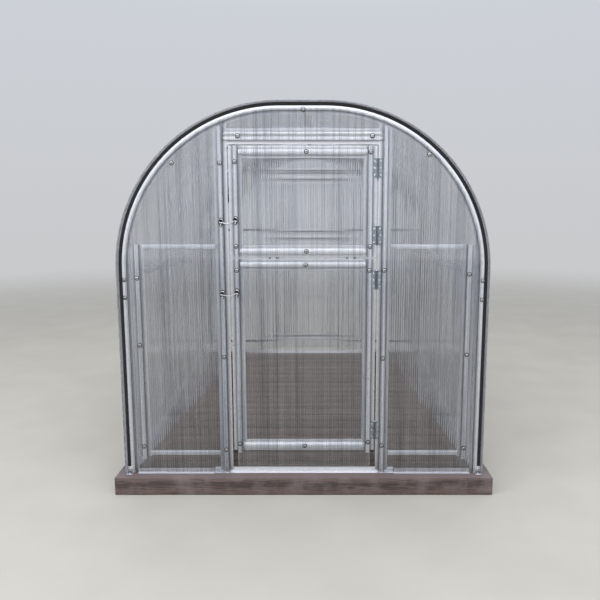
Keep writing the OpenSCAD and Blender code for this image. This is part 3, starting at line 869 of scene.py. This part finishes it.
# %% The braces, shallow channels between the jambs and the posts
BAR_HALF, BAR_D = 12.5 * MM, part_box("front_braces")[1][1] - FRONT_Y
bar_face = plain_crown(BAR_HALF, 0)
bar_inside = plain_crown(BAR_HALF - STEEL, STEEL)[::-1]
channel = soft_corners([(-BAR_HALF, BAR_D), *bar_face, (BAR_HALF, BAR_D),
                        (BAR_HALF - STEEL, BAR_D), *bar_inside, (STEEL - BAR_HALF, BAR_D)],
                       bar_face, bar_inside, GENTLE_BEND)
brace_heights = (height("front_braces", 0) + BAR_HALF, height("front_braces", 1) - BAR_HALF)
braces = mirrored([level(channel, z, HALF_DOOR + HAT_W, POST_X - HAT_W / 2)
                   for z in brace_heights])
frame_pieces(("wall_braces", braces, steel_level, "braces"))
for node, finish in (("end_sole_rails", steel_painted_lighter), ("door_sills", steel_painted_lighter),
                     ("side_sole_rails", steel_long), ("ridge_purlin", steel_long),
                     ("side_purlins", steel_long)):
    recoat(node, finish)

# %% [markdown]
# ## The door leaves
# Each leaf is two uprights and two rails. The rails stop between the uprights, and only their
# crowns run on, in a nose, over the flanges of the uprights.

# %% Leaf frames
STILE_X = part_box("upper_stiles")[1][0] - HAT_W / 2
RAIL_W, RAIL_CROWN, RAIL_BULGE = 64 * MM, 32 * MM, 5 * MM
RAIL_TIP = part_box("upper_rails")[1][0]
LEAVES = ("upper", "lower")
SPAN = {leaf: (height(leaf + "_stiles", 0), height(leaf + "_stiles", 1)) for leaf in LEAVES}


def rail_crown(half, depth):
    return crowned(-half, half, depth, RAIL_BULGE)


RAIL = hat(RAIL_W, RAIL_CROWN, rail_crown, SOFT_BEND)
RAIL_CREST = crest_of(rail_crown(RAIL_CROWN / 2, 0))


def leaf_frame(leaf):
    low, high = SPAN[leaf]
    stiles = mirrored([upright(HAT, STILE_X, low, high)])
    if leaf == "lower":
        stiles += mirrored([crown_below(STILE_X, low)])
    rails = []
    for z in (low + RAIL_W / 2, high - RAIL_W / 2):
        rails += rail_with_noses(RAIL, RAIL_CREST, z, STILE_X - HAT_W / 2, RAIL_TIP)
    return stiles, rails


# %% Place the leaf frames
def piece_set(name, parts, groups, place, body="root", nodes=()):
    """Makes a piece of each group of shapes. Parts gives their names, finishes and slots, and
    nodes the CAD nodes that the first of them stand for."""
    for k, ((part, finish, slot), shapes) in enumerate(zip(parts, groups)):
        piece(f"{name}_{part}", shapes, finish, nodes[k:k + 1], place, body)


def merged(sets):
    """Several sets of groups, joined group by group."""
    return [sum(groups, []) for groups in zip(*sets)]


LEAF_PARTS = (("leaf_uprights", steel_upright, FRAME_SLOT),
              ("leaf_cross_rails", steel_rail, FRAME_SLOT))
frames = {leaf: leaf_frame(leaf) for leaf in LEAVES}
for leaf in LEAVES:
    piece_set(leaf, LEAF_PARTS, frames[leaf], FRONT, leaf + "_leaf",
              [leaf + "_stiles", leaf + "_rails"])
piece_set("rear", LEAF_PARTS, merged(frames.values()), REAR,
          nodes=["rear_leaf_stiles", "rear_leaf_rails"])

# %% [markdown]
# ## The flat sheets
# The flat sheets lie outside the crowns, with upright flutes. Each one is a closed plate cut
# to the arch, with its ribs standing inside it.

# %% Plates and ribs of a flat sheet
SHEET_EDGE = CROWN_IN + SHEET_LAP
FACE, BACK = -SHEET, -SKIN_GAP
# Cut edges are drawn 2 mm thick
EDGE = 2 * MM
RIB_FOOT_GAP, RIB_TOP_GAP, SIDE_GAP = 1 * MM, 2 * MM, 3 * MM


def to_arch(x):
    return arch_height(x, SHEET_EDGE)


def under_arch(x0, x1):
    """The edge of the sheet along the arch, from x0 to x1."""
    points = [(cx + SHEET_EDGE * dx, cz + SHEET_EDGE * dz) for cx, cz, dx, dz in STATIONS]
    between = [(x, z) for x, z in points if x0 < x < x1 and z > WALL_H - MM]
    return [(x0, to_arch(x0))] + between + [(x1, to_arch(x1))]


def plate(outline):
    """A plate cut to an outline of (x, z) points."""
    return loft([[(x, y, z) for x, z in outline] for y in (FACE, BACK)])


def inner_rib(x, thick, low, high):
    """One upright rib, a little shorter than its sheet."""
    outline = rectangle(x - thick / 2, x + thick / 2, FACE + RIB_INSET, BACK - RIB_INSET)
    return standing(outline, low + RIB_FOOT_GAP, high - RIB_TOP_GAP)


def rib_row(x0, x1, low, top):
    """Ribs at even steps from x0 to x1, each as high as the sheet is there."""
    count = int((x1 - x0 - SIDE_GAP) / RIB_PITCH)
    first = (x0 + x1) / 2 - count * RIB_PITCH / 2
    places = [first + k * RIB_PITCH for k in range(count + 1)]
    return [inner_rib(x, RIB, low, top(x)) for x in places]


# %% The sheets: each is its skins, its ribs and its cut edges
WALL_SHEET_X = JAMB_X - CROWN / 2


def wing_sheet():
    """The sheet to the left of the doorway."""
    low, out = height("front_sheet_left", 0), BEND_X + SHEET_EDGE
    outline = [(-out, low), (-out, WALL_H)]
    outline += under_arch(-out, -WALL_SHEET_X)[1:] + [(-WALL_SHEET_X, low)]
    cut_x = WALL_SHEET_X + EDGE
    return ([plate(outline)], rib_row(-out, -WALL_SHEET_X, low, to_arch),
            [inner_rib(-cut_x, EDGE, low, to_arch(cut_x))])


def fan_sheet():
    """The sheet over the doorway."""
    low, x = height("front_sheet_top", 0), WALL_SHEET_X - MM
    return ([plate([(-x, low)] + under_arch(-x, x) + [(x, low)])],
            rib_row(-x, x, low, to_arch), mirrored([inner_rib(x - EDGE, EDGE, low, to_arch(x))]))


def leaf_sheet(leaf):
    low, high = height(leaf + "_sheet", 0), height(leaf + "_sheet", 1)
    x = STILE_X + CROWN / 2
    return ([plate([(-x, low), (-x, high), (x, high), (x, low)])],
            rib_row(-x, x, low, lambda x: high), mirrored([inner_rib(x - EDGE, EDGE, low, high)]))


# %% Place the sheets
SHEET_PARTS = [(part, finish, "end_polycarbonate") for part, finish in (
    ("skins", end_sheet), ("ribs", rib_skin), ("cut_edges", edge_skin))]
wing, fan = wing_sheet(), fan_sheet()
right_wing = [moved(shapes, ACROSS) for shapes in wing]
leaf_sheets = {leaf: leaf_sheet(leaf) for leaf in LEAVES}
for node, sheet in (("front_sheet_left", wing), ("front_sheet_right", right_wing),
                    ("front_sheet_top", fan)):
    piece_set(node, SHEET_PARTS, sheet, FRONT, nodes=[node])
for leaf in LEAVES:
    node = leaf + "_sheet"
    piece_set(node, SHEET_PARTS, leaf_sheets[leaf], FRONT, leaf + "_leaf", [node])
for node, sheets in (("rear_wall_sheets", (wing, right_wing, fan)),
                     ("rear_leaf_sheets", leaf_sheets.values())):
    piece_set(node, SHEET_PARTS, merged(sheets), REAR, nodes=[node])

# %% [markdown]
# ## Hinges
# A butt hinge is two stamped plates rolled round one pin. The plates lie on the flanges of
# jamb and leaf, three screws in each, and the knuckles stand over the gap between them.

# %% Round things: a profile of (radius, height) points turned about an axis
OUTWARD = Matrix.Rotation(math.radians(90), 4, "X")      # turns +Z to -Y, out of the wall


def circle(sides, r=1.0):
    turns = [2 * math.pi * k / sides for k in range(sides)]
    return [(r * math.cos(turn), r * math.sin(turn)) for turn in turns]


def turned(profile, sides, place):
    """A turned shape along Z, moved by a matrix. Both ends are closed."""
    return moved([loft([[(x, y, z) for x, y in circle(sides, r)] for r, z in profile])], place)


def at(x, y, z):
    return Matrix.Translation((x, y, z)) @ OUTWARD


def in_mm(*profile):
    return [(r * MM, z * MM) for r, z in profile]


# %% Hinge plates and knuckles
PIN = frame["record"]["behaviour"]["joints"][0]["pos_m"]
PIN_X, PIN_Y = PIN[0], PIN[1] - FRONT_Y
PLATE_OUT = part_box("hinge_plates")[1][0] - PIN_X
HINGE_H, HINGE_INSET, HINGE_T = 104 * MM, 116 * MM, 2 * MM
KNUCKLE_R, KNUCKLES, KNUCKLE_GAP, BEVEL = 5.5 * MM, 5, 0.6 * MM, 0.8 * MM
PLATE_NEAR = PIN_Y + KNUCKLE_R - HINGE_T
PLATE_FACE, LEAN = PLATE_NEAR + 0.3 * MM, 0.995


def stamped_plate(z, side):
    """One plate. Its top and bottom edges lean in a little towards the face."""
    half = HINGE_H / 2
    edge = rounded(rectangle(side * (KNUCKLE_R + MM), side * PLATE_OUT, -half, half), 5 * MM, 4)
    return loft([[(PIN_X + a, y, z + b * share) for a, b in edge]
                 for y, share in ((PLATE_FACE, LEAN), (PLATE_NEAR + 0.7 * MM, 1),
                                  (PLATE_NEAR + HINGE_T, 1))])


def hinge_side(z, side):
    """The plate with its necks, and the knuckles: side 1 is the jamb's, -1 the leaf's."""
    stamped, rolled = [stamped_plate(z, side)], []
    pitch = HINGE_H / KNUCKLES
    for k in range(0 if side > 0 else 1, KNUCKLES, 2):
        low = z - HINGE_H / 2 + k * pitch + KNUCKLE_GAP / 2
        length = pitch - KNUCKLE_GAP
        barrel = [(KNUCKLE_R - BEVEL, 0), (KNUCKLE_R, BEVEL), (KNUCKLE_R, length - BEVEL),
                  (KNUCKLE_R - BEVEL, length)]
        rolled += turned(barrel, 24, Matrix.Translation((PIN_X, PIN_Y, low)))
        neck = sorted((PIN_X, PIN_X + side * (KNUCKLE_R + 2 * MM)))
        stamped.append(standing(rectangle(*neck, PLATE_NEAR, PLATE_NEAR + HINGE_T), low,
                                low + length))
    return stamped, rolled


print("hinge pins lie", round(PIN_Y, 4), "behind the face of the crowns")

# %% Hinge pins and screws
PIN_R = 2.5 * MM
PIN_OVER = 0.4 * MM
SCREW_STEP = 36 * MM
SCREW_OUT = 0.55


def hinge_pin(z):
    """A pin with a small foot below and a domed head above."""
    half, r = HINGE_H / 2 + PIN_OVER, PIN_R
    dome = [(0.4 * MM, -half - 1.5 * MM), (r, -half - 0.8 * MM), (r, half), (2 * r, half),
            (2 * r, half + 1.2 * MM), (1.5 * r, half + 3 * MM), (0.4 * MM, half + 4 * MM)]
    return turned(dome, 20, Matrix.Translation((PIN_X, PIN_Y, z)))


def hinge_screws(z, side):
    """Three flat screw heads, set in a plate."""
    x = PIN_X + side * (PLATE_OUT + KNUCKLE_R) * SCREW_OUT
    head = in_mm((4, 0), (4, 0.3), (3, 0.75), (0.6, 0.8))
    return [s for k in (-1, 0, 1) for s in turned(head, 18, at(x, PLATE_FACE, z + k * SCREW_STEP))]


# %% Place the hinges. The plates stand for the CAD nodes, the rest is added to them
HINGE_PARTS = [(part, finish, FITTING_SLOT) for part, finish in (
    ("hinge_plates", zinc_stamped), ("hinge_knuckles", zinc_dull),
    ("hinge_screws", zinc_bright))]


def hinge_parts(heights, side):
    """The plates, the knuckles and the screws of the hinges at these heights."""
    return merged([(*hinge_side(z, side), hinge_screws(z, side)) for z in heights])


HINGES = {leaf: (high - HINGE_INSET, low + HINGE_INSET) for leaf, (low, high) in SPAN.items()}
all_heights = HINGES["upper"] + HINGES["lower"]
fixed = hinge_parts(all_heights, 1)
swung = {leaf: hinge_parts(heights, -1) for leaf, heights in HINGES.items()}
piece_set("jamb", HINGE_PARTS, fixed, FRONT, nodes=["hinge_plates"])
for leaf, parts in swung.items():
    piece_set(leaf + "_leaf", HINGE_PARTS, parts, FRONT, leaf + "_leaf",
              [leaf + "_hinge_leaves"])
piece_set("rear", HINGE_PARTS, merged([fixed, *swung.values()]), REAR, nodes=["rear_hinges"])
pins = [shape for z in all_heights for shape in hinge_pin(z)]
piece("hinge_pins_domed", pins, zinc_bright, ["hinge_pins"], FRONT)
piece("rear_hinge_pins_domed", pins, zinc_bright, place=REAR)

# %% [markdown]
# ## Hooks and eyes
# A cabin hook is one length of bent wire. One end hangs in a screw eye on the leaf, the bar
# sags a little, and the other end is turned in to drop into the screw eye on the jamb.

# %% Wire, bent along a line of points
def wire(points, r):
    """A round wire of radius r along the points."""
    points = [Vector(p) for p in points]
    rings, across = [], None
    for i, here in enumerate(points):
        ahead = (points[min(i + 1, len(points) - 1)] - points[max(i - 1, 0)]).normalized()
        if across is None:
            across = ahead.orthogonal().normalized()
        across = (across - ahead * across.dot(ahead)).normalized()
        side = ahead.cross(across)
        rings.append([here + r * (a * across + b * side) for a, b in circle(10)])
    return [loft(rings)]


CURVE_STEPS = 6


def smooth_line(points):
    """More points on a soft curve through the given ones."""
    out = []
    for i in range(len(points) - 1):
        p = [Vector(points[max(0, min(len(points) - 1, i + k))]) for k in (-1, 0, 1, 2)]
        for t in [step / CURVE_STEPS for step in range(CURVE_STEPS)]:
            out.append(0.5 * (2 * p[1] + (p[2] - p[0]) * t
                              + (2 * p[0] - 5 * p[1] + 4 * p[2] - p[3]) * t * t
                              + (3 * p[1] - p[0] - 3 * p[2] + p[3]) * t ** 3))
    return out + [Vector(points[-1])]


# %% Screw eyes and hook bars
WIRE, EYE_WIRE = 3 * MM, 3.6 * MM
HOOK_Y, EYE_Y = -21 * MM, -14 * MM
HOOK_RISE, HOOK_SAG = 8 * MM, 5 * MM
RING_HALF_W, RING_HALF_H, RING_STEPS, FOOT_NARROWING = 11 * MM, 18 * MM, 32, 0.3
SEAL_RIM = in_mm((11.4, 0), (12.5, 0.7), (12.3, 1.6))


def screw_eye(x, y, z):
    """A long ring of wire that hangs in the XZ plane and narrows to its foot, with its shank
    in the wall, and the rubber seal behind it, whose black also stands in for the shade inside
    the ring: painted shade."""
    shank_z = z + RING_HALF_H - 5 * MM
    line = [(x, -SHEET, shank_z), (x, y + EYE_WIRE, shank_z), (x, y, z + RING_HALF_H - MM)]
    for up, across in circle(RING_STEPS)[1:]:
        narrow = 1 - FOOT_NARROWING * (1 - up) / 2
        line.append((x + RING_HALF_W * narrow * across, y, z + RING_HALF_H * up))
    return wire(line, EYE_WIRE), turned(SEAL_RIM + in_mm((0.4, 2.1)), 24, at(x, -SHEET, shank_z))


def hook_bar(z):
    """The bar: round the leaf's ring at one end, and dropped into the jamb's at the other."""
    root, tip, middle = -STILE_X, -JAMB_X, (-STILE_X - JAMB_X) / 2
    leaf_z, low_z = z + HOOK_RISE, z - HOOK_SAG
    return wire(smooth_line([
        (root + 9 * MM, HOOK_Y + 3 * MM, leaf_z - 3 * MM), (root + 4 * MM, HOOK_Y, leaf_z),
        (root - 5 * MM, HOOK_Y, leaf_z), (middle + 14 * MM, HOOK_Y, low_z + 2 * MM),
        (middle, HOOK_Y, low_z), (middle - 14 * MM, HOOK_Y, low_z + MM),
        (tip + 5 * MM, HOOK_Y, z), (tip - 4 * MM, HOOK_Y, z + MM),
        (tip - 8 * MM, HOOK_Y + 5 * MM, z)]), WIRE)


# %% Place the hooks and eyes
# The eye seals are black rubber, and their black disc also stands in for the shade inside the
# rings: painted shade
EYE_PARTS = (("screw_eyes", polished_wire, FITTING_SLOT), ("eye_seals_and_painted_shade", rubber, "gasket"))
# How far the top of the CAD model's hook lies above the middle of its wire
CAD_HOOK_TOP = 4.4 * MM
HOOKS = {leaf: height(leaf + "_hook", 1) - CAD_HOOK_TOP - HOOK_RISE for leaf in LEAVES}
jamb_eyes = [screw_eye(-JAMB_X, EYE_Y, z) for z in HOOKS.values()]
leaf_eyes = {leaf: screw_eye(-STILE_X, EYE_Y, z + HOOK_RISE) for leaf, z in HOOKS.items()}
bars = {leaf: hook_bar(z) for leaf, z in HOOKS.items()}
piece_set("jamb", EYE_PARTS, merged(jamb_eyes), FRONT, nodes=["latch_eyes"])
for leaf, bar in bars.items():
    name = leaf + "_leaf"
    piece_set(name, EYE_PARTS, leaf_eyes[leaf], FRONT, name)
    piece(name + "_hook_bar", bar, zinc_bright, [leaf + "_hook"], FRONT, name)
piece_set("rear", EYE_PARTS, merged([*jamb_eyes, *leaf_eyes.values()]), REAR,
          nodes=["rear_hooks"])
piece("rear_hook_bars", bars["upper"] + bars["lower"], zinc_bright, place=REAR)
print("hooks at", {leaf: round(z, 4) for leaf, z in HOOKS.items()})

# %% [markdown]
# ## Screws
# The sheets and rails are held by hexagon screws with a domed washer and a rubber seal under
# it, some 25 mm across. They are all turned to their own angle, as a hand drives them.

# %% Parts and places of the screws
SCREW_PARTS = (("screw_washers", zinc_bright, FITTING_SLOT),
               ("screw_heads", zinc_dull, FITTING_SLOT), ("screw_seals", rubber, "gasket"))
SEAL = SEAL_RIM + in_mm((7.5, 2.1))
WASHER = in_mm((7.9, 1.8), (8.0, 2.3), (6.6, 2.9), (5.3, 3.1), (5.0, 3.1))
MOST_TILT = 0.05
HEAD = in_mm((5.3, 3.0), (5.3, 6.6), (4.5, 7.4), (2.6, 7.4), (2.1, 6.6), (0.3, 6.5))
# Places of the screws at the front, as (x, z) in millimetres above the base
WALL_SCREWS = [(-436, 1714), (-436, 671), (-436, 138), (436, 1149), (436, 663), (436, 162),
               (-340, 1853), (365, 1853), (-896, 1107), (-896, 737), (-896, 157),
               (896, 1128), (896, 683), (896, 147), (-689, 1715), (665, 1759), (3, 1988)]
LEAF_SCREWS = {
    "upper": [(-358, 1721), (-358, 1278), (358, 1771), (358, 1277), (19, 1773), (18, 1251)],
    "lower": [(-358, 1149), (-358, 173), (358, 1149), (358, 182), (14, 1179), (4, 162)]}
BARE_SCREWS = [(-966, 1097), (-966, 999), (970, 1092), (970, 988)]


# %% Make the screws
def hexagon_screw(x, y, z):
    """A screw on a face at depth y: its washer, its head and the rubber seal."""
    turn = Matrix.Rotation(random.uniform(0, math.pi), 4, "Z")
    tilt = Matrix.Rotation(random.uniform(-MOST_TILT, MOST_TILT), 4, "X")
    place = at(x, y, z) @ tilt @ turn
    return turned(WASHER, 24, place), turned(HEAD, 6, place), turned(SEAL, 24, place)


def screws(name, spots, bare, place, body="root"):
    """Screws on the sheets, and bare ones on the steel where no sheet reaches."""
    made = [hexagon_screw(x * MM, y, z * MM)
            for y, group in ((FACE, spots), (0.0, bare)) for x, z in group]
    piece_set(name, SCREW_PARTS, merged(made), place, body)


screws("front_wall", WALL_SCREWS, BARE_SCREWS, FRONT)
for leaf, spots in LEAF_SCREWS.items():
    screws(leaf + "_leaf", spots, [], FRONT, leaf + "_leaf")
screws("rear_wall", sum(LEAF_SCREWS.values(), WALL_SCREWS), BARE_SCREWS, REAR)

# %% [markdown]
# ## Foot brackets
# A small angle holds down each foot of the end hoops: an upright plate on the crown and a
# foot on the beam, each with a bolt.

# %% Foot brackets and their bolts
bracket_low, bracket_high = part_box("corner_brackets")
bracket_x = (BEND_X + SHEET_EDGE + MM, bracket_high[0])
BRACKET_H, BRACKET_T = bracket_high[2] - BASE_TOP, 3 * MM
BRACKET_FOOT = FRONT_Y - bracket_low[1]
BOLT_UP = 26 * MM
BOLT_FORWARD = BRACKET_FOOT * 0.6
angle = rounded([(0, -BRACKET_FOOT), (BRACKET_T, -BRACKET_FOOT), (BRACKET_T, -BRACKET_T),
                 (BRACKET_H, -BRACKET_T), (BRACKET_H, -SKIN_GAP), (0, -SKIN_GAP)], 1.5 * MM)
brackets = mirrored([loft([[(x, d, h) for h, d in angle] for x in bracket_x])])
bolt = in_mm((8, 0), (8, 1.2), (5.5, 1.3), (5.5, 5.0), (4.6, 5.6), (0.3, 5.8))
bolts = []
for x in (-sum(bracket_x) / 2, sum(bracket_x) / 2):
    bolts += turned(bolt, 6, at(x, -BRACKET_T, BOLT_UP))
    bolts += turned(bolt, 6, Matrix.Translation((x, -BOLT_FORWARD, BRACKET_T)))
piece("foot_bracket_angles", at_both_ends(brackets), steel_bent,
      ["corner_brackets"])
piece("foot_bracket_bolts", at_both_ends(bolts), zinc_bright)

# %% [markdown]
# ## The studio
# The house stands on a plain pale floor that fades into a pale background. Soft lamps stand
# high at both sides, and two broad ones in front light the rails, one high and one low.
# Cameras, metal and plastic see the background; other light comes from a slightly brighter
# sky, so that colours come out about as they are written.

# %% Floor
floor_finish, add, place = material("studio_floor")
away = add("VectorMath", [place], operation="LENGTH")
fade = add("MapRange", {"Value": away, "From Min": 4.0, "From Max": 14.0},
           interpolation_type="SMOOTHSTEP")
# Flecks are 500 mm wide
fleck = add("TexNoise", {"Vector": place, "Scale": 2.0, "Detail": 5.0})
shade = add("ValToRGB", [fleck], stops=[(0.3, "#CBCAC5"), (0.7, "#D2D1CC")])
both = add("MixShader", [fade, add("BsdfDiffuse", [shade]), add("BsdfTransparent")])
add("OutputMaterial", [both])
rim = [(x, y, 0) for x, y in circle(96, 16.0)]
floor = new_mesh("studio_floor", rim, [range(len(rim))], floor_finish)
floor.location.z = -0.5 * MM

# %% Background and sky
world = bpy.data.worlds.new("studio")
bpy.context.scene.world = world
world.use_nodes = True
world.node_tree.nodes.clear()
add = functools.partial(add_node, world.node_tree)
direction = add("SeparateXYZ", [add("TexCoord").outputs["Generated"]])
up = add("MapRange", {"Value": direction.outputs["Z"], "From Min": -0.3, "From Max": 0.9})
seen = add("ValToRGB", [up], stops=[(0.0, "#C6C6C3"), (0.25, "#C9CBCE"), (0.5, "#CDD1D8"),
                                    (0.65, "#F2F4F8"), (0.9, "#FFFFFF")])
sky = add("ValToRGB", [up], stops=[(0.0, grey(0.35)), (0.3, grey(0.6)), (1.0, grey(0.95))])
rays = add("LightPath").outputs
looks = add("Math", [rays["Is Camera Ray"], rays["Is Glossy Ray"]], operation="MAXIMUM")
looks = add("Math", [looks, rays["Is Transmission Ray"]], operation="MAXIMUM")
both = add("MixShader", [looks, add("Background", [sky, 0.6]), add("Background", [seen, 1.0])])
add("OutputWorld", [both])
print("background", len(world.node_tree.nodes), "nodes")


# %% Lamps
def softbox(name, place, target, size, power):
    data = bpy.data.lights.new(name, "AREA")
    data.shape, data.energy = "RECTANGLE", power
    data.size, data.size_y = size
    lamp = new_object(name, data)
    lamp.location = place
    lamp.rotation_euler = (Vector(target) - Vector(place)).to_track_quat("-Z", "Y").to_euler()
    lamp.visible_camera = False
    print(name, power, "W")


softbox("key_softbox", (-5.5, -4.6, 4.0), (0, -1, 1.0), (2.5, 4.5), 130)
softbox("fill_softbox", (6.0, -4.0, 3.6), (0, -1, 1.0), (2.5, 4.5), 80)
softbox("front_strip", (0, -6.4, 6.2), (0, -1.5, 1.0), (9.0, 5.0), 250)
softbox("front_card", (0, -8.5, 2.5), (0, 0, 1.0), (14.0, 3.6), 100)
softbox("overhead_softbox", (0, 1.0, 7.5), (0, 0, 0), (6.0, 5.0), 100)

# %% [markdown]
# ## The camera
# It stands a little to the right of the middle at eye height, and looks slightly down at the
# front.

# %% Camera
TO_THE_RIGHT, BEFORE_THE_FRONT, OVER_THE_BASE = 0.1015, 3.252, 1.463
LOOKS_DOWN = math.radians(8.31)
camera_data = bpy.data.cameras.new("camera")
camera_data.sensor_width = 36.0
camera_data.lens = 36.36
camera_data.shift_x = -0.0367
camera = new_object("camera", camera_data)
camera.location = (TO_THE_RIGHT, FRONT_Y - BEFORE_THE_FRONT, BASE_TOP + OVER_THE_BASE)
camera.rotation_euler = (math.radians(90) - LOOKS_DOWN, 0, 0)
scene = bpy.context.scene
scene.camera = camera
print("camera at", [round(v, 3) for v in camera.location])

# %% [markdown]
# ## Render settings that belong to the materials
# A ray may cross both end walls and the roof, so it needs many steps through clear plastic.
# Light reaches the inside by shadow rays, so bent light is not counted a second time.

# %% Light paths
scene.view_settings.view_transform = "Standard"
scene.cycles.max_bounces = 20
scene.cycles.transmission_bounces = 16
scene.cycles.transparent_max_bounces = 48
scene.cycles.caustics_reflective = False
scene.cycles.caustics_refractive = False
